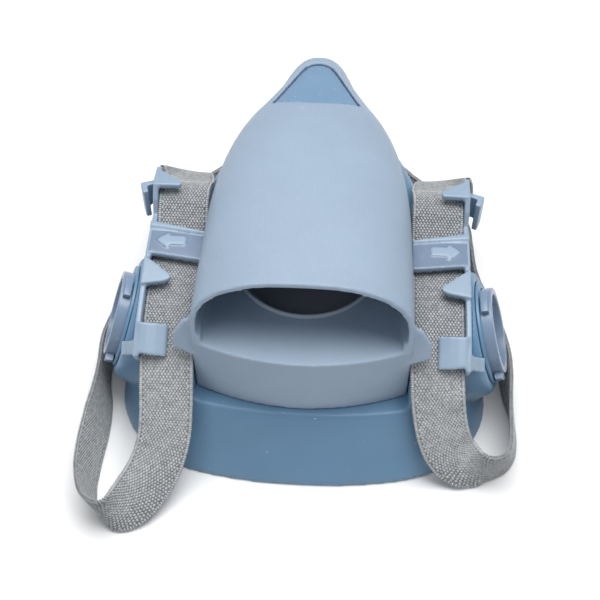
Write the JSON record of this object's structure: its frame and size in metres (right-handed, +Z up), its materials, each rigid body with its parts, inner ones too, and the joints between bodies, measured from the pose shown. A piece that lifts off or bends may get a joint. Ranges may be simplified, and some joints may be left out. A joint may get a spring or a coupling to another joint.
{
  "type": "half-mask respirator",
  "caption": "Reusable silicone half mask with bayonet inlet ports, an exhalation valve under a removable exhaust cover, and an elastic drop-down head harness",
  "frame": {"origin": "middle of the footprint, on the surface that the mask stands on", "axes": "+Z up, +Y from the chin to the nose, +X to the right-hand port of the picture"},
  "size_m": [0.1489, 0.1718, 0.076],
  "materials": {
    "silicone": "satin moulded silicone, steel blue",
    "shell_plastic": "fine moulded grain, pale grey blue",
    "insert_plastic": "smooth moulded, pale grey blue",
    "flap_rubber": "smooth thin rubber",
    "webbing": "woven elastic, grey",
    "cradle_plastic": "smooth moulded, slate grey"
  },
  "bodies": {
    "mask": {"face_seal": "silicone", "front_insert": "insert_plastic", "insert_retaining_ring": "insert_plastic", "harness_yoke": "shell_plastic", "port_collar_right": "shell_plastic", "port_gasket_right": "silicone", "port_collar_left": "shell_plastic", "port_gasket_left": "silicone", "strap_right": "webbing", "strap_left": "webbing", "crown_band": "cradle_plastic", "nape_band": "cradle_plastic", "cradle_slide_right": "cradle_plastic", "cradle_stud_right": "cradle_plastic", "cradle_slide_left": "cradle_plastic", "cradle_stud_left": "cradle_plastic", "neck_buckle_socket": "cradle_plastic"},
    "exhalation_flap_body": {"exhalation_flap": "flap_rubber"},
    "exhaust_cover_body": {"exhaust_cover": "shell_plastic"},
    "inhalation_flap_right_body": {"inhalation_flap_right": "flap_rubber"},
    "inhalation_flap_left_body": {"inhalation_flap_left": "flap_rubber"},
    "neck_buckle_hook_body": {"neck_buckle_hook": "cradle_plastic"}
  },
  "joints": [
    {"name": "exhaust_cover_lift", "type": "slide", "parent": "mask", "child": "exhaust_cover_body", "axis": [0, 0, 1], "range_m": [0, 0.04]},
    {"name": "exhalation_flap_lift", "type": "slide", "parent": "mask", "child": "exhalation_flap_body", "axis": [0, 0, 1], "range_m": [0, 0.0022], "stiffness_N_per_m": 20},
    {"name": "inhalation_flap_right_lift", "type": "slide", "parent": "mask", "child": "inhalation_flap_right_body", "axis": [-0.9478, 0, -0.319], "range_m": [0, 0.002], "stiffness_N_per_m": 20},
    {"name": "inhalation_flap_left_lift", "type": "slide", "parent": "mask", "child": "inhalation_flap_left_body", "axis": [0.9478, 0, -0.319], "range_m": [0, 0.002], "stiffness_N_per_m": 20},
    {"name": "neck_buckle_release", "type": "slide", "parent": "mask", "child": "neck_buckle_hook_body", "axis": [-1, 0, 0], "range_m": [0, 0.008]}
  ]
}
